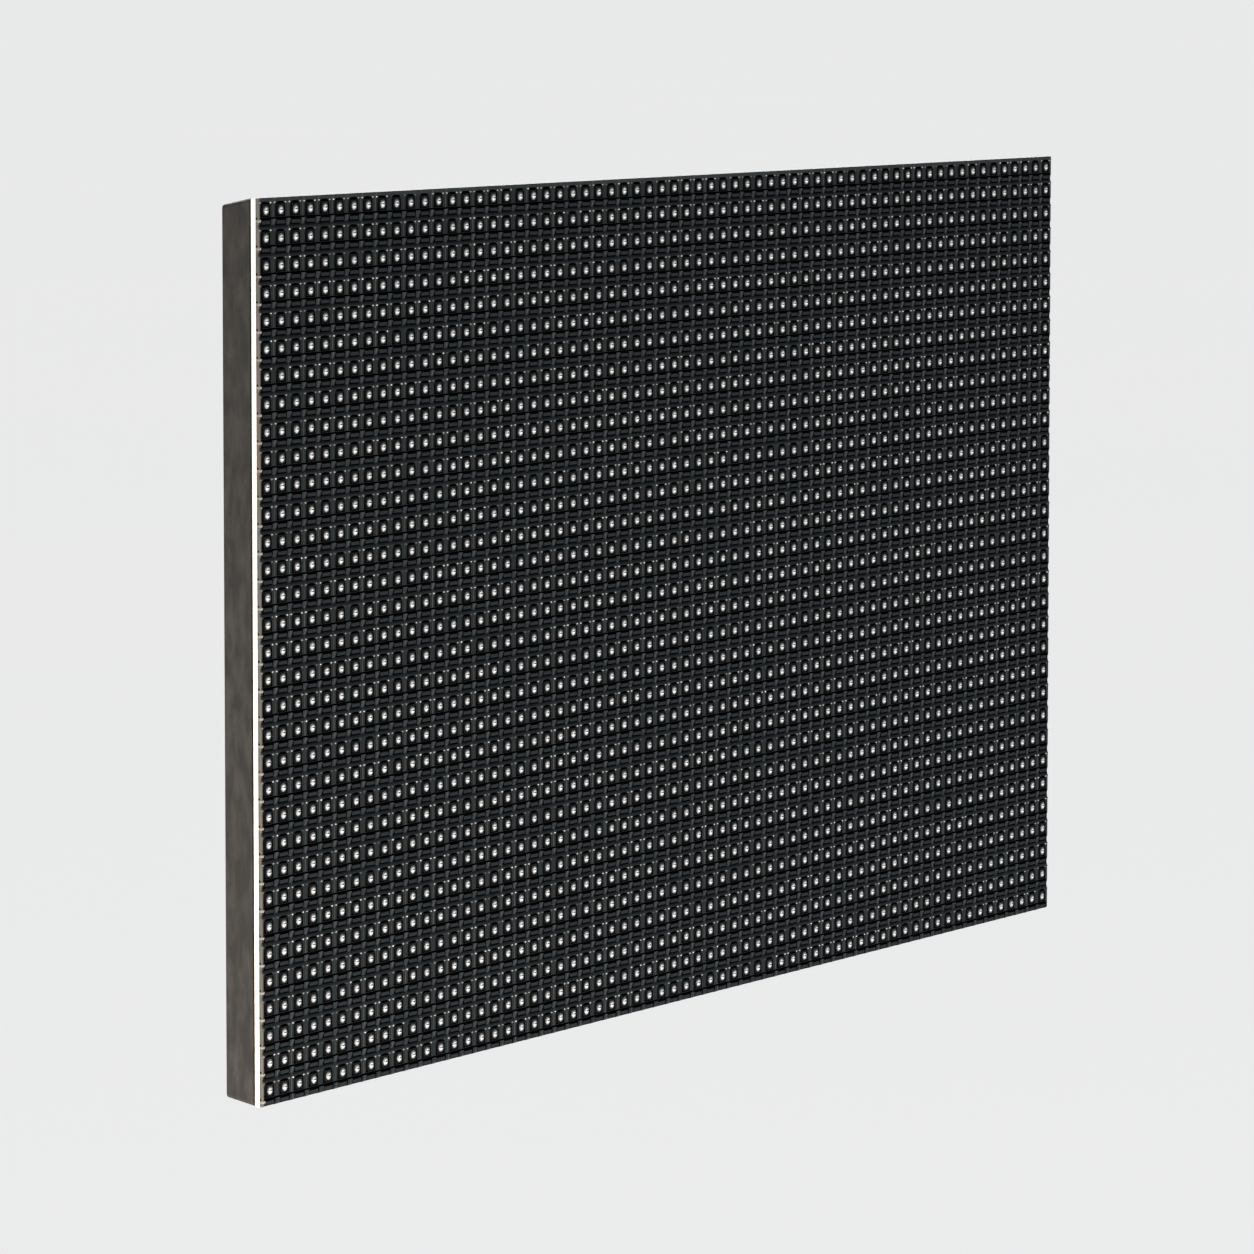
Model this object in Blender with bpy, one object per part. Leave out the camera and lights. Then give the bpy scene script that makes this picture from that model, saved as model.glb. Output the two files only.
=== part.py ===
"""An indoor RGB LED matrix module: a louvred front mask, a board that carries the LED packages and its drive
electronics, and a ribbed rear frame with threaded inserts. X runs along the rows of pixels, Z is up and the
front faces -Y. The origin is the centre of the whole module. All lengths are in metres."""

import math

import bmesh
import bpy
from mathutils import Vector

for old in list(bpy.data.objects):
    bpy.data.objects.remove(old, do_unlink=True)

# Pixels

COLUMNS = 64
ROWS = 33
PITCH = 0.005
LED_WIDTH = 0.0021
LED_HEIGHT = 0.00038
WIDTH = COLUMNS * PITCH
HEIGHT = ROWS * PITCH

# Mask: louvre bars in front, upright ribs behind them, one rim round both

FACE_DEPTH = 0.00035
RIM_WIDTH = 0.0008
RIM_PROUD = 0.00005
LAYER_GAP = 0.00005
LED_CLEARANCE = 0.00007
MASK_SEAT = 0.00015
WINDOW_WIDTH = 0.0034
WINDOW_ABOVE = 0.0014
WINDOW_BELOW = 0.0013
LIP_HEIGHT = 0.00015
GROOVE_HEIGHT = 0.00045
GROOVE_FLOOR = 0.0001
BAND_SETBACK = 0.00014
VISOR_HEIGHT = 0.0006
VISOR_SLOPE = 0.0002

# Board

BOARD_THICKNESS = 0.001
FRAME_SEAT = 0.0003

# Mask posts and the screws that hold them from behind

POST_RADIUS = 0.0012
POST_CLEARANCE = 0.0002
POST_REACH = 0.0013
POST_BORE = 0.0008
POST_BORE_DEPTH = 0.0022
SCREW_CORE = 0.0006
SCREW_ENTRY = 0.0015
HEAD_RADIUS = 0.0015
HEAD_HEIGHT = 0.0009
HEAD_CLEARANCE = 0.0003
LUG_RADIUS = 0.0032
LUG_FLOOR = 0.0013
LUG_PIXELS_IN = 1
LUG_COLUMNS = (8, 24, 40, 56)

# Rear frame

WALL_DEPTH = 0.0058
WALL_THICKNESS = 0.002
WALL_LEAN = 0.0012
CORNER_RADIUS = 0.003
RIB_THICKNESS = 0.002
RIB_BAYS = 3
WEB_THICKNESS = 0.0016
WEB_DROP = 0.0012
BOSS_INSET = 0.01
BOSS_RISE = 0.0029
BOSS_TIP_RADIUS = 0.0044
BOSS_FOOT_RADIUS = 0.0052
INSERT_RADIUS = 0.0024
INSERT_BORE = 0.00125
INSERT_LENGTH = 0.0046
INSERT_SINK = 0.0002
INSERT_CLEARANCE = 0.0002
PIN_RADIUS = 0.0015
PIN_RISE = 0.0025
PIN_POINT = 0.0006
PIN_FROM_BOSS = 0.016

# Parts soldered to the back of the board; a chip's size is its body's length and width, its span and its height

SOLDER_GAP = 0.0001
DRIVER_SIZE = (0.00865, 0.0039, 0.006, 0.0016)
SWITCH_SIZE = (0.0049, 0.0039, 0.006, 0.0015)
BUFFER_SIZE = (0.0128, 0.0075, 0.0103, 0.0023)
DECODER_SIZE = (0.0099, 0.0039, 0.006, 0.0016)
LEAD_THICKNESS = 0.0002
LEAD_FOOT = 0.0006
DRIVERS_IN_ROW = 12
DRIVER_ROW_FROM_RIB = 0.05
SWITCHES = 6
SWITCH_STEP = 0.016
UPPER_ROW = 0.022
LOWER_ROW = 0.02
BUFFER_FROM_SIDE = 0.048
BUFFER_STEP = 0.014
DECODER_FROM_SIDE = 0.08
DATA_HEADER_FROM_SIDE = 0.025
CAPACITOR_PLACES = (-0.038, -0.024, 0.024, 0.038)
HEADER_HEIGHT = 0.0088
HEADER_FLOOR = 0.0025
SHROUD_WALL = 0.0012
PIN_GRID = 0.00254
HEADER_PINS = 8
HEADER_PIN_WIDTH = 0.00064
HEADER_PIN_HEIGHT = 0.0046
HEADER_END_ROOM = 0.0038
HEADER_SIDE_ROOM = 0.0019
KEY_WIDTH = 0.0045
KEY_DEPTH = 0.005
POWER_PINS = 4
POWER_GRID = 0.00396
POWER_PIN_WIDTH = 0.0011
POWER_FLOOR = 0.0032
POWER_WIDTH = 0.0085
POWER_END = 0.00196
CAN_RADIUS = 0.00315
CAN_HEIGHT = 0.0058
CAN_BASE = 0.0066
CAN_BASE_HEIGHT = 0.0011
CAN_BASE_CORNER = 0.0013
CAN_GROOVE_RISE = 0.002
CAN_GROOVE_DEPTH = 0.00026

# Depths, from the front to the back

BOARD_SIDE_DEPTH = FACE_DEPTH + LED_CLEARANCE + LED_HEIGHT
TOTAL_DEPTH = BOARD_SIDE_DEPTH + BOARD_THICKNESS + FRAME_SEAT + WALL_DEPTH + BOSS_RISE + PIN_RISE
MASK_FRONT = -TOTAL_DEPTH / 2
BARS_BACK = MASK_FRONT + FACE_DEPTH
RIBS_FRONT = BARS_BACK + LAYER_GAP
BOARD_FRONT = MASK_FRONT + BOARD_SIDE_DEPTH
MASK_BACK = BOARD_FRONT - MASK_SEAT
BOARD_BACK = BOARD_FRONT + BOARD_THICKNESS
FRAME_FRONT = BOARD_BACK + FRAME_SEAT
FRAME_BACK = FRAME_FRONT + WALL_DEPTH
BOSS_BACK = FRAME_BACK + BOSS_RISE
PIN_BACK = BOSS_BACK + PIN_RISE
SOLDER_FACE = BOARD_BACK + SOLDER_GAP
POST_BACK = FRAME_FRONT + POST_REACH
LUG_SEAT = POST_BACK + POST_CLEARANCE + LUG_FLOOR
LUG_BACK = LUG_SEAT + HEAD_HEIGHT + HEAD_CLEARANCE

ROUND_STEPS = 16
FINE_STEPS = 12
X, Y, Z = 0, 1, 2


def material(name, colour, roughness, metallic=0.0):
    """A Principled material, with its colour given as linear red, green and blue."""
    made = bpy.data.materials.new(name)
    made.use_nodes = True
    shader = made.node_tree.nodes["Principled BSDF"]
    shader.inputs["Base Color"].default_value = (*colour, 1.0)
    shader.inputs["Roughness"].default_value = roughness
    shader.inputs["Metallic"].default_value = metallic
    made.diffuse_color = (*colour, 1.0)
    return made


def prism(bm, outline, axis, low, high):
    """A closed prism along an axis; the outline's points are in the two other axes, in X, Y, Z order."""
    corners = []
    for point in outline:
        place = list(point)
        place.insert(axis, low)
        corners.append(bm.verts.new(place))
    face = bm.faces.new(corners)
    grown = bmesh.ops.extrude_face_region(bm, geom=[face], use_keep_orig=True)
    moved = [item for item in grown["geom"] if isinstance(item, bmesh.types.BMVert)]
    step = Vector((0, 0, 0))
    step[axis] = high - low
    bmesh.ops.translate(bm, verts=moved, vec=step)


def rectangle(left, right, bottom, top):
    return [(left, bottom), (right, bottom), (right, top), (left, top)]


def box(bm, x, y, z):
    """A box between two values on each axis."""
    prism(bm, rectangle(x[0], x[1], z[0], z[1]), Y, y[0], y[1])


def rounded_rectangle(width, height, radius, steps=4):
    """A rectangle about the origin whose corners are arcs."""
    points = []
    for corner, (side, level) in enumerate(((1, 1), (-1, 1), (-1, -1), (1, -1))):
        centre = (side * (width / 2 - radius), level * (height / 2 - radius))
        for step in range(steps + 1):
            angle = math.radians(90 * (corner + step / steps))
            points.append((centre[0] + radius * math.cos(angle), centre[1] + radius * math.sin(angle)))
    return points


def turned(bm, profile, x, z, steps):
    """A solid turned about a Y axis through (x, z); the profile's points are (radius, y)."""
    closed = profile[0][0] > 0
    verts = [bm.verts.new((x + radius, y, z)) for radius, y in profile]
    edges = [bm.edges.new(pair) for pair in zip(verts, verts[1:])]
    if closed:
        edges.append(bm.edges.new((verts[-1], verts[0])))
    bmesh.ops.spin(
        bm,
        geom=verts + edges,
        cent=(x, 0, z),
        axis=(0, 1, 0),
        angle=2 * math.pi,
        steps=steps,
        use_merge=True,
    )
    bmesh.ops.remove_doubles(bm, verts=bm.verts, dist=1e-6)


def new_object(name, build, *materials):
    """An object whose mesh the given function fills, with every face pointing outwards."""
    bm = bmesh.new()
    build(bm)
    bmesh.ops.recalc_face_normals(bm, faces=bm.faces)
    mesh = bpy.data.meshes.new(name)
    bm.to_mesh(mesh)
    bm.free()
    for made in materials:
        mesh.materials.append(made)
    made = bpy.data.objects.new(name, mesh)
    bpy.context.scene.collection.objects.link(made)
    return made


def combine(target, operation, name, *builds):
    """A Boolean of the target with solids that stay in the file as hidden guides."""
    group = bpy.data.collections.new(name)
    bpy.context.scene.collection.children.link(group)
    for number, build in enumerate(builds, 1):
        guide = new_object(f"{name}_{number}", build)
        bpy.context.scene.collection.objects.unlink(guide)
        group.objects.link(guide)
        guide.hide_render = True
        guide.display_type = "WIRE"
    step = target.modifiers.new(name, "BOOLEAN")
    step.operation = operation
    step.solver = "EXACT"
    step.operand_type = "COLLECTION"
    step.collection = group
    return step


def put_at(target, x, z):
    """Moves an object and the guides of its Booleans, which are all modelled about the Y axis."""
    target.location = (x, 0, z)
    for step in target.modifiers:
        for guide in step.collection.objects:
            guide.location = target.location


def row_height(row):
    """The height of a row's LED centres, counted from the top row, 0."""
    return HEIGHT / 2 - (row + 0.5) * PITCH


def column_edge(column):
    """The line to the left of a column of pixels, counted from the left column, 0."""
    return column * PITCH - WIDTH / 2


def lug_places():
    """Where the mask's posts and their screws are, between four pixels near the top and bottom walls."""
    rise = HEIGHT / 2 - LUG_PIXELS_IN * PITCH
    return [(column_edge(column), side * rise) for side in (1, -1) for column in LUG_COLUMNS]


def boss_places():
    across = WIDTH / 2 - BOSS_INSET
    rise = HEIGHT / 2 - BOSS_INSET
    return [(x, side * rise) for side in (1, -1) for x in (-across, 0, across)]


def pin_places():
    """Two locating pins, at opposite corners."""
    across = WIDTH / 2 - BOSS_INSET - PIN_FROM_BOSS
    rise = HEIGHT / 2 - BOSS_INSET
    return [(-across, rise), (across, -rise)]


# Louvred mask: one moulding in black polycarbonate


def mask_rim(bm):
    """The rim, as a flat ring of full depth."""
    outer = rectangle(-WIDTH / 2, WIDTH / 2, -HEIGHT / 2, HEIGHT / 2)
    prism(bm, outer, Y, MASK_FRONT, MASK_BACK)


def mask_field(bm):
    """The field inside the rim, which the rim is cut by."""
    inner = rectangle(
        RIM_WIDTH - WIDTH / 2, WIDTH / 2 - RIM_WIDTH, RIM_WIDTH - HEIGHT / 2, HEIGHT / 2 - RIM_WIDTH
    )
    prism(bm, inner, Y, MASK_FRONT - RIM_WIDTH, MASK_BACK + RIM_WIDTH)


def louvre_profile(top, bottom):
    """A louvre between two rows, from its lip down over the groove and the set-back band to the visor."""
    face = MASK_FRONT + RIM_PROUD
    band = face + BAND_SETBACK
    floor = BARS_BACK - GROOVE_FLOOR
    groove_top = top - LIP_HEIGHT
    groove_bottom = groove_top - GROOVE_HEIGHT
    visor_top = bottom + VISOR_HEIGHT
    return [
        (BARS_BACK, top),
        (band, top),
        (band, groove_top),
        (floor, groove_top),
        (floor, groove_bottom),
        (band, groove_bottom),
        (band, visor_top + VISOR_SLOPE),
        (face, visor_top),
        (face, bottom),
        (BARS_BACK, bottom),
    ]


def mask_louvres(bm):
    """One louvre above each row and one below the last, with their ends sunk in the rim."""
    reach = WIDTH / 2 - RIM_WIDTH / 2
    edge = HEIGHT / 2 - RIM_WIDTH / 2
    face = MASK_FRONT + RIM_PROUD
    top_louvre = rectangle(face, BARS_BACK, row_height(0) + WINDOW_ABOVE, edge)
    bottom_louvre = rectangle(face, BARS_BACK, -edge, row_height(ROWS - 1) - WINDOW_BELOW)
    prism(bm, top_louvre, X, -reach, reach)
    prism(bm, bottom_louvre, X, -reach, reach)
    for row in range(ROWS - 1):
        top = row_height(row) - WINDOW_BELOW
        bottom = row_height(row + 1) + WINDOW_ABOVE
        prism(bm, louvre_profile(top, bottom), X, -reach, reach)


def mask_ribs(bm):
    """The upright ribs between the columns, behind the louvres."""
    reach = HEIGHT / 2 - RIM_WIDTH / 2
    half = (PITCH - WINDOW_WIDTH) / 2
    for column in range(1, COLUMNS):
        x = column_edge(column)
        box(bm, (x - half, x + half), (RIBS_FRONT, MASK_BACK), (-reach, reach))


def mask_posts(bm):
    """The posts that pass through the board, each grown out of a rib."""
    root = (RIBS_FRONT + MASK_BACK) / 2
    profile = [(0, root), (POST_RADIUS, root), (POST_RADIUS, POST_BACK), (0, POST_BACK)]
    for x, z in lug_places():
        turned(bm, profile, x, z, FINE_STEPS)


def post_bores(bm):
    """The blind bores that the screws cut their thread in."""
    floor = POST_BACK - POST_BORE_DEPTH
    end = POST_BACK + POST_BORE
    profile = [(0, floor), (POST_BORE, floor), (POST_BORE, end), (0, end)]
    for x, z in lug_places():
        turned(bm, profile, x, z, FINE_STEPS)


def build_mask(finish):
    mask = new_object("louvre_mask", mask_rim, finish)
    combine(mask, "DIFFERENCE", "mask_field", mask_field)
    combine(mask, "UNION", "mask_lattice", mask_louvres, mask_ribs, mask_posts)
    combine(mask, "DIFFERENCE", "mask_bores", post_bores)


# Board: black laminate with a pale sawn edge; the LED packages of a column are fused into one strip


def board_plate(bm):
    prism(bm, rectangle(-WIDTH / 2, WIDTH / 2, -HEIGHT / 2, HEIGHT / 2), Y, BOARD_FRONT, BOARD_BACK)


def led_strips(bm):
    """The LED packages of each column, seen one by one through the mask's windows."""
    reach = row_height(0) + LED_WIDTH / 2
    root = (BOARD_FRONT + BOARD_BACK) / 2
    for column in range(COLUMNS):
        x = column_edge(column) + PITCH / 2
        half = LED_WIDTH / 2
        box(bm, (x - half, x + half), (BOARD_FRONT - LED_HEIGHT, root), (-reach, reach))


def post_holes(bm):
    """The board's holes for the mask's posts."""
    radius = POST_RADIUS + POST_CLEARANCE
    ends = (BOARD_FRONT - LED_HEIGHT - radius, BOARD_BACK + radius)
    profile = [(0, ends[0]), (radius, ends[0]), (radius, ends[1]), (0, ends[1])]
    for x, z in lug_places():
        turned(bm, profile, x, z, FINE_STEPS)


def build_board(laminate):
    board = new_object("led_board", board_plate, laminate)
    combine(board, "UNION", "led_strips", led_strips)
    combine(board, "DIFFERENCE", "board_holes", post_holes)


# Rear frame: one moulding in glass-filled plastic, open between its ribs


def lean_in(bm):
    """Moves each point towards the middle rib, the more the further back it is, as the long walls lean."""
    for vert in bm.verts:
        vert.co.z -= math.copysign(WALL_LEAN * (vert.co.y - FRAME_FRONT) / WALL_DEPTH, vert.co.z)


def frame_block(bm):
    outline = rounded_rectangle(WIDTH, HEIGHT, CORNER_RADIUS / 4)
    prism(bm, outline, Y, FRAME_FRONT, FRAME_BACK)
    lean_in(bm)


def frame_field(bm):
    inner = rounded_rectangle(WIDTH - 2 * WALL_THICKNESS, HEIGHT - 2 * WALL_THICKNESS, CORNER_RADIUS)
    prism(bm, inner, Y, FRAME_FRONT - WALL_THICKNESS, FRAME_BACK + WALL_THICKNESS)
    lean_in(bm)


def wall_reach():
    """How far up and down the members that join a long wall go, to end inside it at every depth."""
    return HEIGHT / 2 - (WALL_THICKNESS + WALL_LEAN) / 2


def frame_ribs(bm):
    """The long middle rib, a little lower than the walls."""
    reach = WIDTH / 2 - WALL_THICKNESS / 2
    half = RIB_THICKNESS / 2
    box(bm, (-reach, reach), (FRAME_FRONT, FRAME_BACK - WEB_DROP / 2), (-half, half))


def frame_crossbars(bm):
    """The upright ribs between the bays."""
    half = RIB_THICKNESS / 2
    for bay in range(1, RIB_BAYS):
        x = WIDTH * bay / RIB_BAYS - WIDTH / 2
        box(bm, (x - half, x + half), (FRAME_FRONT, FRAME_BACK - WEB_DROP), (-wall_reach(), wall_reach()))


def wall_webs(bm):
    """A web from each lug, boss and pin to the long wall beside it, standing clear of the board."""
    half = WEB_THICKNESS / 2
    for x, z in lug_places() + boss_places() + pin_places():
        span = sorted((z, math.copysign(wall_reach(), z)))
        box(bm, (x - half, x + half), (FRAME_FRONT + WEB_DROP, LUG_BACK - WEB_DROP), span)


def side_webs(bm):
    """A web from each corner boss to the short wall beside it."""
    half = WEB_THICKNESS / 2
    for x, z in boss_places():
        if x:
            span = sorted((x, math.copysign(WIDTH / 2 - WALL_THICKNESS / 2, x)))
            box(bm, span, (FRAME_FRONT + 1.5 * WEB_DROP, LUG_BACK - 1.5 * WEB_DROP), (z - half, z + half))


def frame_lugs(bm):
    """The lugs that take the mask's posts from the front and the screws from the back."""
    profile = [(0, FRAME_FRONT), (LUG_RADIUS, FRAME_FRONT), (LUG_RADIUS, LUG_BACK), (0, LUG_BACK)]
    for x, z in lug_places():
        turned(bm, profile, x, z, ROUND_STEPS)


def frame_bosses(bm):
    """The drafted bosses for the threaded inserts."""
    profile = [(0, FRAME_FRONT), (BOSS_FOOT_RADIUS, FRAME_FRONT), (BOSS_TIP_RADIUS, BOSS_BACK), (0, BOSS_BACK)]
    for x, z in boss_places():
        turned(bm, profile, x, z, ROUND_STEPS)


def frame_pins(bm):
    """The locating pins on their thicker feet, with chamfered points."""
    foot = 2 * PIN_RADIUS
    profile = [
        (0, FRAME_FRONT),
        (foot, FRAME_FRONT),
        (foot, LUG_BACK),
        (PIN_RADIUS, LUG_BACK),
        (PIN_RADIUS, PIN_BACK - PIN_POINT),
        (PIN_RADIUS - PIN_POINT, PIN_BACK),
        (0, PIN_BACK),
    ]
    for x, z in pin_places():
        turned(bm, profile, x, z, ROUND_STEPS)


def lug_bores(bm):
    """A pocket for the post, a hole for the screw and a counterbore for its head, cut as one."""
    pocket = POST_RADIUS + POST_CLEARANCE
    hole = POST_BORE
    sink = HEAD_RADIUS + HEAD_CLEARANCE
    pocket_end = POST_BACK + POST_CLEARANCE
    profile = [
        (0, FRAME_FRONT - pocket),
        (pocket, FRAME_FRONT - pocket),
        (pocket, pocket_end),
        (hole, pocket_end),
        (hole, LUG_SEAT),
        (sink, LUG_SEAT),
        (sink, LUG_BACK + sink),
        (0, LUG_BACK + sink),
    ]
    for x, z in lug_places():
        turned(bm, profile, x, z, FINE_STEPS)


def insert_bores(bm):
    """The blind bores for the threaded inserts."""
    radius = INSERT_RADIUS + INSERT_CLEARANCE
    floor = BOSS_BACK - INSERT_SINK - INSERT_LENGTH - INSERT_CLEARANCE
    end = BOSS_BACK + radius
    profile = [(0, floor), (radius, floor), (radius, end), (0, end)]
    for x, z in boss_places():
        turned(bm, profile, x, z, ROUND_STEPS)


def build_frame(finish):
    frame = new_object("rear_frame", frame_block, finish)
    combine(frame, "DIFFERENCE", "frame_field", frame_field)
    combine(
        frame,
        "UNION",
        "frame_members",
        frame_ribs,
        frame_crossbars,
        wall_webs,
        side_webs,
        frame_lugs,
        frame_bosses,
        frame_pins,
    )
    combine(frame, "DIFFERENCE", "frame_bores", lug_bores, insert_bores)


# Fasteners


def copies(name, mesh_of, places, finish):
    """Objects that share one mesh, modelled about the Y axis, at each place in X and Z."""
    first = new_object(f"{name}_1", mesh_of, finish)
    first.location = (places[0][0], 0, places[0][1])
    made = [first]
    for number, (x, z) in enumerate(places[1:], 2):
        twin = bpy.data.objects.new(f"{name}_{number}", first.data)
        twin.location = (x, 0, z)
        bpy.context.scene.collection.objects.link(twin)
        made.append(twin)
    return made


def mask_screw(bm):
    """A pan-head self-tapping screw: its head seats in the lug and its core ends in the post's bore."""
    seat = LUG_SEAT + POST_CLEARANCE / 2
    crown = seat + HEAD_HEIGHT
    tip = POST_BACK - SCREW_ENTRY
    profile = [
        (0, tip),
        (SCREW_CORE / 2, tip),
        (SCREW_CORE, tip + SCREW_CORE),
        (SCREW_CORE, seat),
        (HEAD_RADIUS, seat),
        (HEAD_RADIUS, crown - HEAD_HEIGHT / 2),
        (0.7 * HEAD_RADIUS, crown),
        (0, crown),
    ]
    turned(bm, profile, 0, 0, FINE_STEPS)


def threaded_insert(bm):
    """A brass insert, open right through, with a chamfered mouth."""
    back = BOSS_BACK - INSERT_SINK
    front = back - INSERT_LENGTH
    mouth = INSERT_BORE + (INSERT_RADIUS - INSERT_BORE) / 3
    profile = [
        (INSERT_BORE, front),
        (INSERT_RADIUS, front),
        (INSERT_RADIUS, back),
        (mouth, back),
        (INSERT_BORE, back - (mouth - INSERT_BORE)),
    ]
    turned(bm, profile, 0, 0, ROUND_STEPS)


# Chips: a moulded body with a row of bent leads along each long side


def chip_shape(length, body, span, height):
    """A function that builds one chip about the Y axis, with its long side along X."""
    lead = LEAD_THICKNESS
    foot = LEAD_FOOT
    shoulder = height / 2
    draft = height / 10

    def build(bm):
        base = SOLDER_FACE
        half_body, half_span = body / 2, span / 2
        right = [
            (half_body, base + lead),
            (half_body, base + shoulder - lead),
            (half_span - foot, base + shoulder - lead),
            (half_span - foot - lead, base),
            (half_span, base),
            (half_span, base + lead),
            (half_span - foot + lead, base + lead),
            (half_span - foot + lead, base + shoulder),
            (half_body, base + shoulder),
            (half_body - draft, base + height),
        ]
        left = [(-z, y) for z, y in reversed(right)]
        outline = [(y, z) for z, y in right + left]
        prism(bm, outline, X, -length / 2, length / 2)

    return build


def driver_places():
    step = WIDTH / DRIVERS_IN_ROW
    across = [(number + 0.5) * step - WIDTH / 2 for number in range(DRIVERS_IN_ROW)]
    return [(x, side * DRIVER_ROW_FROM_RIB) for side in (1, -1) for x in across]


def switch_places():
    return [((number - (SWITCHES - 1) / 2) * SWITCH_STEP, UPPER_ROW) for number in range(SWITCHES)]


def buffer_places():
    x = BUFFER_FROM_SIDE - WIDTH / 2
    return [(x, UPPER_ROW + BUFFER_STEP / 2), (x, UPPER_ROW - BUFFER_STEP / 2)]


def build_chips(finish):
    copies("driver_chip", chip_shape(*DRIVER_SIZE), driver_places(), finish)
    copies("row_switch_chip", chip_shape(*SWITCH_SIZE), switch_places(), finish)
    copies("buffer_chip", chip_shape(*BUFFER_SIZE), buffer_places(), finish)
    decoder = [(DECODER_FROM_SIDE - WIDTH / 2, UPPER_ROW)]
    copies("row_decoder_chip", chip_shape(*DECODER_SIZE), decoder, finish)


# Connectors


def header_half_width():
    return PIN_GRID + HEADER_SIDE_ROOM


def header_half_length():
    return HEADER_PINS * PIN_GRID / 2 + HEADER_END_ROOM


def header_shroud(bm):
    """A box header's floor and walls before its socket is cut, with its long side along Z."""
    width, length = header_half_width(), header_half_length()
    box(bm, (-width, width), (SOLDER_FACE, SOLDER_FACE + HEADER_HEIGHT), (-length, length))


def header_socket(bm):
    width, length = header_half_width() - SHROUD_WALL, header_half_length() - SHROUD_WALL
    floor = SOLDER_FACE + HEADER_FLOOR
    end = SOLDER_FACE + HEADER_HEIGHT + SHROUD_WALL
    box(bm, (-width, width), (floor, end), (-length, length))


def header_key(bm):
    """The slot in one long wall that the plug's key runs in."""
    across = (-header_half_width() - SHROUD_WALL, 2 * SHROUD_WALL - header_half_width())
    bottom = SOLDER_FACE + HEADER_HEIGHT - KEY_DEPTH
    end = SOLDER_FACE + HEADER_HEIGHT + SHROUD_WALL
    box(bm, across, (bottom, end), (-KEY_WIDTH / 2, KEY_WIDTH / 2))


def header_pins(bm):
    """Two rows of square pins, rooted in the floor."""
    root = SOLDER_FACE + HEADER_FLOOR / 2
    tip = SOLDER_FACE + HEADER_FLOOR + HEADER_PIN_HEIGHT
    half = HEADER_PIN_WIDTH / 2
    for row in (-0.5, 0.5):
        for number in range(HEADER_PINS):
            x = row * PIN_GRID
            z = (number - (HEADER_PINS - 1) / 2) * PIN_GRID
            box(bm, (x - half, x + half), (root, tip), (z - half, z + half))


def build_data_header(name, x, finish):
    header = new_object(name, header_shroud, finish)
    combine(header, "DIFFERENCE", f"{name}_socket", header_socket, header_key)
    combine(header, "UNION", f"{name}_pins", header_pins)
    put_at(header, x, UPPER_ROW)


def power_length():
    return (POWER_PINS - 1) * POWER_GRID + 2 * POWER_END


def power_wafer(bm):
    """The power header's floor and its one tall wall, as an L-shaped section with a stepped foot."""
    half = POWER_WIDTH / 2
    top = SOLDER_FACE + HEADER_HEIGHT
    floor = SOLDER_FACE + POWER_FLOOR
    wall = SHROUD_WALL
    lip = floor + POWER_FLOOR / 2
    outline = [
        (SOLDER_FACE, -half),
        (SOLDER_FACE, half),
        (top, half),
        (top, half - wall),
        (floor, half - wall),
        (floor, wall - half),
        (lip, wall - half),
        (lip, -half),
    ]
    prism(bm, outline, X, -power_length() / 2, power_length() / 2)


def power_pins(bm):
    root = SOLDER_FACE + POWER_FLOOR / 2
    tip = SOLDER_FACE + HEADER_HEIGHT - SHROUD_WALL
    half = POWER_PIN_WIDTH / 2
    for number in range(POWER_PINS):
        x = (number - (POWER_PINS - 1) / 2) * POWER_GRID
        box(bm, (x - half, x + half), (root, tip), (-half, half))


def build_power_header(finish):
    header = new_object("power_header", power_wafer, finish)
    combine(header, "UNION", "power_header_pins", power_pins)
    put_at(header, 0, -LOWER_ROW)


# Capacitors: a rolled aluminium can on a moulded base


def capacitor_can(bm):
    """The can, with the groove that closes it round its bung and a rounded top edge."""
    base = SOLDER_FACE + CAN_BASE_HEIGHT / 2
    top = SOLDER_FACE + CAN_HEIGHT
    groove = SOLDER_FACE + CAN_GROOVE_RISE
    pinch = CAN_GROOVE_DEPTH
    profile = [
        (0, base),
        (CAN_RADIUS, base),
        (CAN_RADIUS, groove - pinch),
        (CAN_RADIUS - pinch, groove),
        (CAN_RADIUS, groove + pinch),
        (CAN_RADIUS, top - pinch),
        (CAN_RADIUS - pinch, top),
        (0, top),
    ]
    turned(bm, profile, 0, 0, ROUND_STEPS)


def capacitor_base(bm):
    """The square base, with two corners cut to mark the plus side."""
    half = CAN_BASE / 2
    inner = half - CAN_BASE_CORNER
    outline = [
        (-half, -half),
        (half, -half),
        (half, inner),
        (inner, half),
        (-inner, half),
        (-half, inner),
    ]
    prism(bm, outline, Y, SOLDER_FACE, SOLDER_FACE + CAN_BASE_HEIGHT)


def build_capacitors(finish):
    for number, x in enumerate(CAPACITOR_PLACES, 1):
        name = f"capacitor_{number}"
        made = new_object(name, capacitor_base, finish)
        combine(made, "UNION", f"{name}_can", capacitor_can)
        put_at(made, x, -LOWER_ROW)


build_mask(material("black_polycarbonate", (0.022, 0.024, 0.026), 0.5))
build_board(material("led_and_laminate", (0.55, 0.56, 0.56), 0.4))
build_frame(material("grey_black_glass_filled_plastic", (0.06, 0.055, 0.047), 0.6))
copies("mask_screw", mask_screw, lug_places(), material("zinc_plated_steel", (0.45, 0.45, 0.46), 0.35, 1.0))
copies("threaded_insert", threaded_insert, boss_places(), material("brass", (0.6, 0.42, 0.16), 0.35, 1.0))
build_chips(material("black_epoxy", (0.015, 0.015, 0.016), 0.5))
BLACK_NYLON = material("black_nylon", (0.02, 0.02, 0.021), 0.45)
build_data_header("data_in_header", DATA_HEADER_FROM_SIDE - WIDTH / 2, BLACK_NYLON)
build_data_header("data_out_header", WIDTH / 2 - DATA_HEADER_FROM_SIDE, BLACK_NYLON)
build_power_header(material("white_nylon", (0.75, 0.73, 0.68), 0.5))
build_capacitors(material("aluminium_can", (0.6, 0.61, 0.62), 0.3, 1.0))
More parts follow.
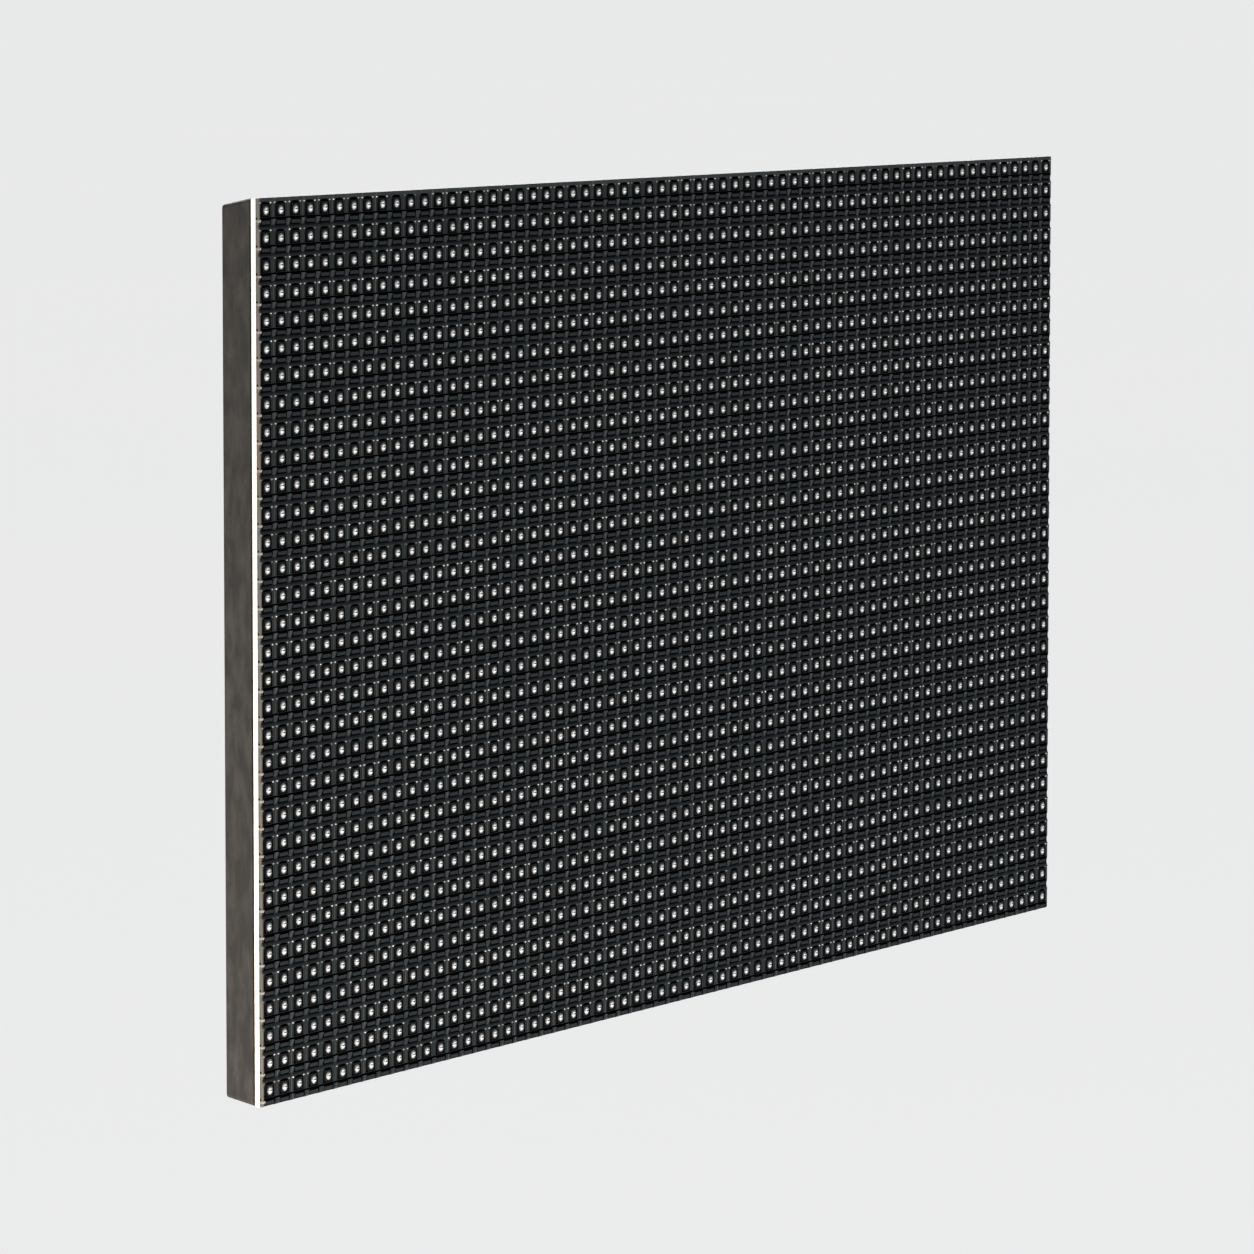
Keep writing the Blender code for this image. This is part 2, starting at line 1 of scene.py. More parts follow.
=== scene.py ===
import math

import bmesh
import bpy
from mathutils import Matrix, Vector


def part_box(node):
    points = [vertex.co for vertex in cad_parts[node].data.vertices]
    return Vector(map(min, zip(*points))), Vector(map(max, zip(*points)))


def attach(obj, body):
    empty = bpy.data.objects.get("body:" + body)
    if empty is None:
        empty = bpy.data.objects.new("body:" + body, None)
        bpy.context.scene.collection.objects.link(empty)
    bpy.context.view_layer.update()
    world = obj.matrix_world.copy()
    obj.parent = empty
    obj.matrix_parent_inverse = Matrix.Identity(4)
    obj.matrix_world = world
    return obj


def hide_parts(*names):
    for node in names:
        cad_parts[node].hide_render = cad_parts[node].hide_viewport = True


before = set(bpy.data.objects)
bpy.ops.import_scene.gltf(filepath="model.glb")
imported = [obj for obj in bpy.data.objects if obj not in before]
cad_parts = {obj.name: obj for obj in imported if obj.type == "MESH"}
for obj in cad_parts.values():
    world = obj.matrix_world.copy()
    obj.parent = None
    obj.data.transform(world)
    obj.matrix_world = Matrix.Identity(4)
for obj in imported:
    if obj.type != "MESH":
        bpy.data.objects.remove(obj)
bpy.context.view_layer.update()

# Louvred front mask: one moulding in black polycarbonate with a spark-eroded skin. Each pixel has an arched
# pocket under a shading visor, and below it a groove and a raised pad between two ribs. Eight posts behind
# the mask pass through the board, and screws in them clamp mask, board and frame together.

MM = 0.001
HAIR = 0.01 * MM
PITCH = 5 * MM
COLUMNS = 64
ROWS = 33
HALF_WIDTH = COLUMNS * PITCH / 2
HALF_HEIGHT = ROWS * PITCH / 2
ROW_RISE = 0.28 * MM
TOP_ROW = HALF_HEIGHT - PITCH / 2 + ROW_RISE
LEFT_COLUMN = PITCH / 2 - HALF_WIDTH

MASK_FACE = -6.6 * MM
MASK_BACK = -5.86 * MM
POCKET_FLOOR = -5.95 * MM
POCKET_HALF_WIDTH = 1.64 * MM
POCKET_TOP = 1.55 * MM
POCKET_BOTTOM = -1.22 * MM
POCKET_UPPER_RADIUS = 0.95 * MM
GROOVE_TOP = -1.3 * MM
GROOVE_BOTTOM = -1.62 * MM
GROOVE_DEPTH = 0.3 * MM
VISOR_BOTTOM = 1.64 * MM
VISOR_TOP = 2.2 * MM
FLAT_DEPTH = 0.25 * MM
STEP_DRAFT = 0.04 * MM
RIB_HALF_WIDTH = 0.8 * MM
CHANNEL_DEPTH = 0.16 * MM
PAD_MARGIN = 0.28 * MM
PAD_RISE = 0.08 * MM
RIM = 0.6 * MM
RIM_CHAMFER = 0.3 * MM
POST_RADIUS = 1.2 * MM
POST_BORE = 0.8 * MM
POST_ROOT = 0.1 * MM
POST_BACK = -3.25 * MM
POST_BORE_DEPTH = 2.2 * MM
POST_SIDES = 20
MASK_SCREWS = 8


def choose(kind, wanted):
    """Selects the VERTs, EDGEs or FACEs of the mesh in edit mode whose middle passes a test, alone."""
    shape = bpy.context.object.data
    bpy.ops.mesh.select_all(action="DESELECT")
    bpy.ops.mesh.select_mode(type=kind)
    held = bmesh.from_edit_mesh(shape)
    items = {"VERT": held.verts, "EDGE": held.edges, "FACE": held.faces}[kind]
    for item in items:
        corners = [item] if kind == "VERT" else item.verts
        middle = sum((corner.co for corner in corners), Vector()) / len(corners)
        item.select_set(bool(wanted(middle, item)))
    held.select_flush_mode()
    bmesh.update_edit_mesh(shape)


def select_only(piece):
    bpy.ops.object.select_all(action="DESELECT")
    piece.select_set(True)
    bpy.context.view_layer.objects.active = piece


def start_editing(piece):
    select_only(piece)
    bpy.ops.object.mode_set(mode="EDIT")


def stop_editing():
    bpy.ops.object.mode_set(mode="OBJECT")


def slice_at(axis, place, everything=True, **settings):
    """Cuts the mesh in edit mode, or only its selected faces, on a plane square to an axis. Blender's own
    threshold of 0.1 mm is more than the mask's draft, so a finer one is given."""
    if everything:
        bpy.ops.mesh.select_all(action="SELECT")
    normal = Vector([axis == name for name in "XYZ"])
    bpy.ops.mesh.bisect(plane_co=place * normal, plane_no=normal, threshold=0.1 * HAIR, **settings)


def extrude(x, y, z):
    """Extrudes what is selected by a step on each axis."""
    bpy.ops.mesh.extrude_region_move(TRANSFORM_OT_translate={"value": (x, y, z)})


def settle(name):
    """Names the primitive just added, and moves its place and turn into its mesh."""
    piece = bpy.context.object
    piece.name = piece.data.name = name
    bpy.ops.object.transform_apply(location=True, rotation=True, scale=True)
    return piece


def add_round(name, radius, low, high, sides=24, middle=(0, 0)):
    """A cylinder along Y between two depths, round a middle in X and Z."""
    bpy.ops.object.select_all(action="DESELECT")
    bpy.ops.mesh.primitive_cylinder_add(
        vertices=sides,
        radius=radius,
        depth=high - low,
        location=(middle[0], (low + high) / 2, middle[1]),
        rotation=(math.pi / 2, 0, 0),
    )
    return settle(name)


def apply_all(piece):
    select_only(piece)
    for step in list(piece.modifiers):
        bpy.ops.object.modifier_apply(modifier=step.name)


def repeat(piece, count, step, weld=False):
    """Repeats a piece in a row, and may weld each copy to the next where they meet."""
    row = piece.modifiers.new("row", "ARRAY")
    row.count = count
    row.use_relative_offset = False
    row.use_constant_offset = True
    row.constant_offset_displace = step
    row.use_merge_vertices = weld
    row.merge_threshold = HAIR
    apply_all(piece)


def join_to(piece, others):
    select_only(piece)
    for other in others:
        other.select_set(True)
    bpy.ops.object.join()


def middle_of(node):
    """The middle of a CAD node's box, as X and Z."""
    low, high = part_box(node)
    return (low[0] + high[0]) / 2, (low[2] + high[2]) / 2


def under_groove(at, face):
    return at.z < TOP_ROW + GROOVE_BOTTOM


bpy.ops.object.select_all(action="DESELECT")
top_left = (LEFT_COLUMN, MASK_FACE, TOP_ROW + VISOR_TOP - PITCH / 2)
bpy.ops.mesh.primitive_plane_add(size=PITCH, location=top_left, rotation=(math.pi / 2, 0, 0))
mask = settle("louvre_mask_moulding")
start_editing(mask)
for level in (VISOR_BOTTOM, VISOR_BOTTOM - STEP_DRAFT, GROOVE_TOP, GROOVE_BOTTOM):
    slice_at("Z", TOP_ROW + level)
for side in (-1, 1):
    choose("FACE", under_groove)
    slice_at("X", LEFT_COLUMN + side * (PITCH / 2 - RIB_HALF_WIDTH), everything=False)

# the flat under the visor, set back, and the pocket, sunk from a smaller face inside it


def on_flat(at, vert):
    return GROOVE_TOP - HAIR < at.z - TOP_ROW < VISOR_BOTTOM - 0.5 * STEP_DRAFT


def in_flat(at, face):
    return GROOVE_TOP < at.z - TOP_ROW < VISOR_BOTTOM - STEP_DRAFT


def upper_corner(at, edge):
    """The two upper corner edges of the pocket, which run from front to back."""
    runs_back = abs(edge.verts[0].co.y - edge.verts[1].co.y) > 1.2 * FLAT_DEPTH
    return runs_back and at.z > TOP_ROW


choose("VERT", on_flat)
bpy.ops.transform.translate(value=(0, FLAT_DEPTH, 0))
choose("FACE", in_flat)
bpy.ops.mesh.inset(thickness=POCKET_HALF_WIDTH / 4, depth=0)
pocket_corners = [
    (LEFT_COLUMN + side * POCKET_HALF_WIDTH, TOP_ROW + level)
    for side in (-1, 1)
    for level in (POCKET_BOTTOM, POCKET_TOP)
]
held = bmesh.from_edit_mesh(mask.data)
for corner in [corner for face in held.faces if face.select for corner in face.verts]:
    corner.co.x, corner.co.z = min(pocket_corners, key=lambda at: math.dist(at, (corner.co.x, corner.co.z)))
bmesh.update_edit_mesh(mask.data)
extrude(0, POCKET_FLOOR - MASK_FACE - FLAT_DEPTH, 0)
choose("EDGE", upper_corner)
bpy.ops.mesh.bevel(offset=POCKET_UPPER_RADIUS, segments=2, profile=0.5, affect="EDGES")

# the band under the groove: between two ribs, a channel that slopes up to a raised pad


def between_ribs(at, face):
    return under_groove(at, face) and abs(at.x - LEFT_COLUMN) < PITCH / 2 - RIB_HALF_WIDTH


choose("FACE", between_ribs)
extrude(0, CHANNEL_DEPTH, 0)
bpy.ops.mesh.inset(thickness=PAD_MARGIN, depth=PAD_RISE)
stop_editing()

repeat(mask, COLUMNS, (PITCH, 0, 0), weld=True)
repeat(mask, ROWS, (0, 0, -PITCH), weld=True)

# the bottom edge, the rim above the top row, and lines for the rim's width and its chamfer


def at_open_edge(at, edge):
    return edge.is_boundary


start_editing(mask)
slice_at("Z", -HALF_HEIGHT, clear_inner=True)
choose("EDGE", lambda at, edge: edge.is_boundary and at.z > TOP_ROW + VISOR_TOP - HAIR)
extrude(0, 0, HALF_HEIGHT - TOP_ROW - VISOR_TOP)
for inward in (RIM_CHAMFER, RIM):
    slice_at("X", HALF_WIDTH - inward)
    slice_at("X", inward - HALF_WIDTH)
slice_at("Z", HALF_HEIGHT - RIM_CHAMFER)
slice_at("Z", RIM_CHAMFER - HALF_HEIGHT)

# the sides brought level with the face, the grooves sunk from rim to rim, then the chamfer and the flat back


def on_low_rim(at, vert):
    return abs(at.x) > HALF_WIDTH - 1.1 * RIM_CHAMFER and at.y > MASK_FACE + 0.9 * FLAT_DEPTH


def in_groove(at, face):
    return -GROOVE_TOP < (TOP_ROW - at.z) % PITCH < -GROOVE_BOTTOM and abs(at.x) < HALF_WIDTH - RIM


choose("VERT", on_low_rim)
bpy.ops.transform.translate(value=(0, -FLAT_DEPTH, 0))
choose("FACE", in_groove)
extrude(0, GROOVE_DEPTH, 0)
choose("EDGE", at_open_edge)
bpy.ops.transform.translate(value=(0, RIM_CHAMFER, 0))
extrude(0, 0, 0)
bpy.ops.transform.resize(value=(1, 0, 1), center_override=(0, MASK_BACK, 0))
choose("EDGE", at_open_edge)
bpy.ops.mesh.edge_face_add()
bpy.ops.mesh.select_all(action="SELECT")
bpy.ops.mesh.normals_make_consistent(inside=False)
stop_editing()

# the posts, each with the blind bore that its screw cuts a thread in

posts = []
for number in range(1, MASK_SCREWS + 1):
    place = middle_of(f"mask_screw_{number}")
    post = add_round(f"mask_post_{number}", POST_RADIUS, MASK_BACK - POST_ROOT, POST_BACK, POST_SIDES, place)
    start_editing(post)
    choose("FACE", lambda at, face: at.y > POST_BACK - HAIR)
    bpy.ops.mesh.inset(thickness=POST_RADIUS - POST_BORE, depth=0)
    extrude(0, -POST_BORE_DEPTH, 0)
    stop_editing()
    posts.append(post)
join_to(mask, posts)


def linear(code):
    """An sRGB hex colour as linear red, green, blue and alpha."""
    parts = [int(code[place : place + 2], 16) / 255 for place in (1, 3, 5)]
    return (*[part / 12.92 if part <= 0.04045 else ((part + 0.055) / 1.055) ** 2.4 for part in parts], 1.0)


def add_node(tree, kind, settings):
    """Adds a shader node with its settings: properties, values of sockets, and outputs to link to sockets."""
    node = tree.nodes.new("ShaderNode" + kind)
    for key, value in settings.items():
        if isinstance(value, bpy.types.NodeSocket):
            tree.links.new(value, node.inputs[key])
        elif isinstance(key, str) and hasattr(node, key):
            setattr(node, key, value)
        else:
            node.inputs[key].default_value = value
    return node


class Finish:
    """A material whose colour drifts between two tones over patches of a size, with a fine relief."""

    def __init__(self, name, dark, light, patch, grain=0.4 * MM, relief=0.02 * MM, **sockets):
        self.made = bpy.data.materials.new(name)
        self.made.use_nodes = True
        shader = self.made.node_tree.nodes["Principled BSDF"]
        for key, value in sockets.items():
            shader.inputs[key.replace("_", " ")].default_value = value
        self.place = self.add("TexCoord", {}).outputs["Object"]
        patches = {"Vector": self.place, "Scale": 1 / patch, "Detail": 3.0, "Roughness": 0.6}
        drift = self.add("TexNoise", patches)
        fine = self.add("TexNoise", {"Vector": self.place, "Scale": 1 / grain, "Detail": 2.0})
        self.colour = linear(dark)
        self.lay_over(light, drift.outputs["Fac"])
        self.height = fine.outputs["Fac"]
        self.relief = relief

    def add(self, kind, settings):
        return add_node(self.made.node_tree, kind, settings)

    def lay_over(self, code, share, *others):
        """Lays a colour over what is there, by the product of shares: numbers, or what other nodes give."""
        for other in others:
            share = self.add("Math", {"operation": "MULTIPLY", 0: share, 1: other}).outputs[0]
        mixed = self.add("Mix", {"data_type": "RGBA", 0: share, 6: self.colour, 7: linear(code)})
        self.colour = mixed.outputs[2]

    def finished(self):
        """Links colour and relief to the shader, and gives the material."""
        tree = self.made.node_tree
        bump = self.add("Bump", {"Height": self.height, "Strength": 0.5, "Distance": self.relief})
        tree.links.new(self.colour, tree.nodes["Principled BSDF"].inputs["Base Color"])
        tree.links.new(bump.outputs["Normal"], tree.nodes["Principled BSDF"].inputs["Normal"])
        return self.made


def pixel_place(finish):
    """Where a point is in its own pixel, in millimetres from the pixel's middle, and that pixel's number."""
    steps = {"operation": "MULTIPLY_ADD", 1: (1 / PITCH,) * 3, 2: (0.0, 0.0, 0.5 - ROW_RISE / PITCH)}
    cells = finish.add("VectorMath", {**steps, 0: finish.place}).outputs[0]
    within = finish.add("VectorMath", {"operation": "FRACTION", 0: cells}).outputs[0]
    aside = finish.add("VectorMath", {"operation": "SUBTRACT", 0: within, 1: (0.5, 0.0, 0.5)}).outputs[0]
    scaled = {"operation": "MULTIPLY", 0: aside, 1: (PITCH / MM, 0.0, PITCH / MM)}
    flat = finish.add("VectorMath", scaled).outputs[0]
    return flat, finish.add("VectorMath", {"operation": "FLOOR", 0: cells}).outputs[0]


def spot(finish, flat, middle, squeeze, near, far):
    """A soft spot at a place in each pixel, squeezed by a factor on each axis and faded from near to far."""
    back = tuple(-part * factor for part, factor in zip(middle, squeeze))
    offset = finish.add("VectorMath", {"operation": "MULTIPLY_ADD", 0: flat, 1: squeeze, 2: back}).outputs[0]
    length = finish.add("VectorMath", {"operation": "LENGTH", 0: offset}).outputs["Value"]
    return finish.add("MapRange", {"Value": length, "From Min": far, "From Max": near}).outputs[0]


# Spark-eroded polycarbonate: an even satin black with a faint cloudiness from the mould. Painted shade makes
# it darker where it is set back and in the bands of pads. Its grain is drawn at 0.4 mm so that it shows.

POLYCARBONATE = {"Roughness": 0.55, "Specular_IOR_Level": 0.1}
skin = Finish("moulded_black_polycarbonate", "#1a1f22", "#282e31", 24 * MM, **POLYCARBONATE)
flat, pixel = pixel_place(skin)
chance = skin.add("TexWhiteNoise", {"Vector": pixel}).outputs["Value"]
across, deep, _ = skin.add("SeparateXYZ", {"Vector": skin.place}).outputs
level = skin.add("SeparateXYZ", {"Vector": flat}).outputs["Z"]
# painted shade: the face is darker where it is set back, as the light reaches it less
set_back_shade = {"Value": deep, "From Min": MASK_FACE + 0.05 * MM, "From Max": MASK_FACE + FLAT_DEPTH}
skin.lay_over("#13181a", skin.add("MapRange", set_back_shade).outputs[0])
# painted shade: the bands of pads below the grooves are darker
from_band = {"operation": "MULTIPLY_ADD", 0: level, 1: MM / PITCH, 2: 1 - VISOR_TOP / PITCH}
up_cell = skin.add("Math", {"operation": "FRACT", 0: skin.add("Math", from_band).outputs[0]}).outputs[0]
band_share = (PITCH - VISOR_TOP + GROOVE_BOTTOM) / PITCH
band_shade = skin.add("Math", {"operation": "LESS_THAN", 0: up_cell, 1: band_share}).outputs[0]
skin.lay_over("#0d1012", band_shade, 0.6)

# painted highlights: a glint at the two upper corners of each pocket, where light catches a small lump of
# flash, and a light line down each rib, on the seams between pixels; also a little dust. All are brighter on
# some pixels

CORNER_GLINTS = ((-1.85, 1.0), (1.8, 0.8))
GLINT_LEVEL = 1.35
SEAM_ASIDE = -2.45
DUST_SPACING = 5 * MM

# painted highlight: a pale glint at each upper corner of a pocket, stronger on the left
for side, bright in CORNER_GLINTS:
    corner_glint = spot(skin, flat, (side, 0.0, GLINT_LEVEL), (1.0, 0.0, 2.0), 0.1, 0.34)
    skin.lay_over("#e4ddcf", corner_glint, chance, bright)
# painted highlight: a light line down each rib, where its edge catches the light from the left
seam_highlight = spot(skin, flat, (SEAM_ASIDE, 0.0, 0.0), (1.0, 0.0, 0.0), 0.08, 0.3)
skin.lay_over("#5f605d", seam_highlight, chance, 0.5)
specks = skin.add("TexVoronoi", {"Vector": skin.place, "Scale": 1 / DUST_SPACING}).outputs
picked = skin.add("Math", {"operation": "GREATER_THAN", 0: specks["Color"], 1: 0.8}).outputs[0]
speck = skin.add("MapRange", {"Value": specks["Distance"], "From Min": 0.05, "From Max": 0.03}).outputs[0]
skin.lay_over("#c9ccca", speck, picked)

# a painted highlight makes the left edge, which faces the light, a lighter grey; and a pale tab of the
# laminate shows at the left end of each band

LEFT_EDGE_HIGHLIGHT = (0.4 * MM - HALF_WIDTH, 0.05 * MM - HALF_WIDTH)
TAB_END = 0.9 * MM - HALF_WIDTH
TAB_LEVEL = -1.95
TAB_HALF_HEIGHT = 0.2

# painted highlight: lighter grey along the left edge, where the light from the left falls
left_edge_highlight = skin.add("MapRange", {"Value": across, "From Min": LEFT_EDGE_HIGHLIGHT[0], "From Max": LEFT_EDGE_HIGHLIGHT[1]}).outputs[0]
skin.lay_over("#6f6c66", left_edge_highlight, 0.5)
at_end = skin.add("Math", {"operation": "LESS_THAN", 0: across, 1: TAB_END}).outputs[0]
at_level = skin.add("Math", {"operation": "COMPARE", 0: level, 1: TAB_LEVEL, 2: TAB_HALF_HEIGHT}).outputs[0]
skin.lay_over("#7f786d", at_end, at_level)
mask_plastic = skin.finished()

# The same plastic in the pockets, grooves and channels, painted near-black as their shade: rough and in
# shade, it gives back hardly any light

ROUGH_PLASTIC = {"Roughness": 0.9, "Specular_IOR_Level": 0.0}
painted_shade_plastic = Finish("shade_painted_black_polycarbonate", "#010202", "#040505", 3 * MM, **ROUGH_PLASTIC).finished()


def in_shade(face):
    """Whether a face is inside a pocket or a groove, or in the channel round a pad, and so takes the painted
    shade.
    """
    at = face.center
    hair = 2 * HAIR
    below = (TOP_ROW - at.z) % PITCH
    aside = abs((at.x + HALF_WIDTH) % PITCH - PITCH / 2)
    in_front = at.y < MASK_BACK - 2 * hair
    past_pocket = hair - POCKET_BOTTOM < below < PITCH - POCKET_TOP - hair
    over_pocket = aside < POCKET_HALF_WIDTH + hair and not past_pocket
    in_pocket = over_pocket and at.y > MASK_FACE + FLAT_DEPTH + hair
    in_slot = -GROOVE_TOP - hair < below < hair - GROOVE_BOTTOM and at.y > MASK_FACE + CHANNEL_DEPTH
    up, down = PITCH - VISOR_TOP, -GROOVE_BOTTOM
    between = aside < PITCH / 2 - RIB_HALF_WIDTH + hair and down - hair < below < up + hair
    beside_pad = aside >= PITCH / 2 - RIB_HALF_WIDTH - PAD_MARGIN + hair
    past_pad = abs(below - (up + down) / 2) >= (up - down) / 2 - PAD_MARGIN + hair
    in_channel = between and at.y > MASK_FACE + hair and (beside_pad or past_pad)
    return in_front and (in_pocket or in_slot or in_channel)


def dress(piece, *finishes, pick=None):
    """Gives a piece its materials, and each face the one that the pick function numbers."""
    piece.data.materials.clear()
    for finish in finishes:
        piece.data.materials.append(finish)
    for face in piece.data.polygons:
        face.material_index = pick(face) if pick else 0


def place_in_part(piece, slot, *nodes):
    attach(piece, "root")
    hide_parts(*nodes)


# the faces in pockets, grooves and channels take the near-black plastic that paints their shade
dress(mask, mask_plastic, painted_shade_plastic, pick=lambda face: int(in_shade(face)))
place_in_part(mask, "mask", "louvre_mask")

# Circuit board: black-masked glass laminate, sawn to size, so that its edge shows the pale bare laminate. It
# is drilled for the mask's posts, and clamped between the mask and the rear frame.

BOARD_FRONT = -5.85 * MM
BOARD_BACK = -4.85 * MM
BOARD_EDGE = 0.06 * MM
POST_HOLE = 1.4 * MM
DRILL_REACH = 2 * MM


def add_block(name, x, y, z):
    """A block between two values on each axis."""
    bpy.ops.object.select_all(action="DESELECT")
    bpy.ops.mesh.primitive_cube_add(size=1, location=[(span[0] + span[1]) / 2 for span in (x, y, z)])
    bpy.context.object.scale = [span[1] - span[0] for span in (x, y, z)]
    return settle(name)


def cut(piece, cutters):
    """Cuts a piece by a list of cutters, which are then gone."""
    join_to(cutters[0], cutters[1:])
    drilled = piece.modifiers.new("drilled", "BOOLEAN")
    drilled.operation = "DIFFERENCE"
    drilled.object = cutters[0]
    apply_all(piece)
    bpy.data.objects.remove(cutters[0])


def soften(piece, width):
    """Chamfers the sharp edges of a piece."""
    rounded = piece.modifiers.new("rounded", "BEVEL")
    rounded.width = width
    rounded.segments = 1
    rounded.limit_method = "ANGLE"
    apply_all(piece)


board_size = ((-HALF_WIDTH, HALF_WIDTH), (BOARD_FRONT, BOARD_BACK), (-HALF_HEIGHT, HALF_HEIGHT))
board = add_block("circuit_board", *board_size)
drills = []
for number in range(1, MASK_SCREWS + 1):
    place = middle_of(f"mask_screw_{number}")
    drill = add_round("drill", POST_HOLE, BOARD_BACK - DRILL_REACH, BOARD_BACK + DRILL_REACH, middle=place)
    drills.append(drill)
cut(board, drills)
soften(board, BOARD_EDGE)

# Solder mask: a dark, slightly glossy lacquer that copies the tracks under it in low relief, 0.9 mm apart

TRACK_WIDTH = 0.7 * MM
TRACK_GAP = 0.2 * MM
TRACK_LENGTH = 17 * MM

film = Finish("black_solder_mask", "#0d0f0f", "#141716", 30 * MM, relief=0.04 * MM, Roughness=0.4)
turned = film.add("Mapping", {"Vector": film.place, "Rotation": (math.pi / 2, 0, 0)}).outputs[0]
shades = {"Color1": (0, 0, 0, 1), "Color2": (1, 1, 1, 1), "Mortar": (0, 0, 0, 1)}
sizes = {"Mortar Size": TRACK_GAP, "Brick Width": TRACK_LENGTH, "Row Height": TRACK_WIDTH + TRACK_GAP}
tracks = film.add("TexBrick", {"Vector": turned, "Scale": 1.0, **shades, **sizes}).outputs["Color"]
film.lay_over("#1d2220", tracks)
film.height = tracks
lacquer = film.finished()

# Sawn laminate: pale cream glass cloth and resin, matt, with faint layers along the board

CLOTH = {"grain": 0.3 * MM, "Roughness": 0.6}
laminate = Finish("sawn_glass_laminate", "#e4dfd6", "#f4f0e9", 6 * MM, **CLOTH).finished()


def at_board_edge(face):
    inside = (HALF_WIDTH - 2 * BOARD_EDGE, HALF_HEIGHT - 2 * BOARD_EDGE)
    outside = abs(face.center.x) > inside[0] or abs(face.center.z) > inside[1]
    return int(outside and abs(face.normal.y) < 0.9)


dress(board, lacquer, laminate, pick=at_board_edge)
place_in_part(board, "board", "led_board")

# LED packages: 2112 surface-mounted packages, soldered to the board in the mask's pockets. Each is a black
# body with a clear moulded lens over a silvered cup, and its row of dies is the dark bar across it.

BODY_SIZE = 2.1 * MM
BODY_TOP = -6.3 * MM
LENS_RINGS = ((0.85, -6.3), (0.8, -6.42), (0.58, -6.53), (0.24, -6.56))
LENS_SIDES = 10
LED_ASIDE = 0.28 * MM


def step_end(shift, factor, middle=(0, 0)):
    """Extrudes the selected end along Y, and shrinks or grows it about a middle in X and Z."""
    extrude(0, shift, 0)
    bpy.ops.transform.resize(value=(factor, 1, factor), center_override=(middle[0], 0, middle[1]))


def follow_rings(rings, middle=(0, 0)):
    """Takes the selected end through rings, each a radius and a place on Y in millimetres."""
    for (radius, depth), (next_radius, next_depth) in zip(rings, rings[1:]):
        step_end((next_depth - depth) * MM, next_radius / radius, middle)


led_x = LEFT_COLUMN + LED_ASIDE
body_x = (led_x - BODY_SIZE / 2, led_x + BODY_SIZE / 2)
body_z = (TOP_ROW - BODY_SIZE / 2, TOP_ROW + BODY_SIZE / 2)
leds = add_block("led_packages", body_x, (BODY_TOP, BOARD_FRONT), body_z)
bpy.ops.object.select_all(action="DESELECT")
bpy.ops.mesh.primitive_circle_add(
    vertices=LENS_SIDES,
    radius=LENS_RINGS[0][0] * MM,
    fill_type="NGON",
    location=(led_x, LENS_RINGS[0][1] * MM, TOP_ROW),
    rotation=(math.pi / 2, 0, 0),
)
lens = settle("lens")
start_editing(lens)
bpy.ops.mesh.select_all(action="SELECT")
bpy.ops.mesh.duplicate()
bpy.ops.mesh.flip_normals()
choose("FACE", lambda at, face: face.normal.y < 0)
follow_rings(LENS_RINGS, (led_x, TOP_ROW))
bpy.ops.mesh.select_all(action="SELECT")
bpy.ops.mesh.remove_doubles(threshold=0.1 * HAIR)
stop_editing()
bpy.ops.object.shade_smooth()

# Moulded package: black epoxy without gloss, so that it is lost in the pocket's shade

EPOXY_BODY = {"Roughness": 0.7, "Specular_IOR_Level": 0.08}
package = Finish("black_moulded_package", "#050606", "#0d0e0e", 0.5 * MM, **EPOXY_BODY).finished()

# Lens over a silvered cup: grey, with a painted highlight in white at its lower left where the cup shines,
# and with the dies as a dark bar

led_middle = LED_ASIDE / MM
LENS_HIGHLIGHT_PLACE = (led_middle - 0.14, 0.0, -0.05)
DIES_PLACE = (led_middle + 0.18, 0.0, 0.0)

cup = Finish("lens_over_silvered_cup", "#53575a", "#6c7072", 1.3 * MM, relief=0.0, Roughness=0.25)
flat, pixel = pixel_place(cup)
chance = cup.add("TexWhiteNoise", {"Vector": pixel}).outputs["Value"]
bright = cup.add("MapRange", {"Value": chance, "To Min": 0.8}).outputs[0]
# painted highlight: white at the lens's lower left, brighter on some LEDs than on others
cup.lay_over("#fbfaf6", spot(cup, flat, LENS_HIGHLIGHT_PLACE, (0.9, 0.0, 1.05), 0.2, 0.56), bright)
cup.lay_over("#2d2c2a", spot(cup, flat, DIES_PLACE, (0.22, 0.0, 1.0), 0.1, 0.24))
dress(leds, package)
dress(lens, cup.finished())
join_to(leds, [lens])
repeat(leds, COLUMNS, (PITCH, 0, 0))
repeat(leds, ROWS, (0, 0, -PITCH))
place_in_part(leds, "board", "led_board")

# Rear frame: one moulding in glass-filled plastic, whose short fibres leave a faint warm mottle in its
# black. It stiffens the board, and its bosses and lugs carry the inserts and screws.

STREAK_WIDTH = 1.6 * MM
STREAKS = {"Rotation": (0.0, 0.35, 0.0), "Scale": (1.0, 1.0, 0.3)}
FIBRES = {"grain": 0.7 * MM, "relief": 0.05 * MM, "Roughness": 0.62}

plastic = Finish("glass_filled_plastic", "#141311", "#252421", 6 * MM, **FIBRES)
drawn = plastic.add("Mapping", {"Vector": plastic.place, **STREAKS}).outputs[0]
fibres = plastic.add("TexNoise", {"Vector": drawn, "Scale": 1 / STREAK_WIDTH, "Detail": 4.0}).outputs["Fac"]
streaks = plastic.add("MapRange", {"Value": fibres, "From Min": 0.4, "From Max": 0.7}).outputs[0]
plastic.lay_over("#383632", streaks, 0.7)
dress(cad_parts["rear_frame"], plastic.finished())

# Mask screws: eight pan-head self-tapping screws in bright zinc-plated steel, with a cross recess, driven
# from the back through the frame's lugs into the mask's posts. The thread is drawn as plain rings.

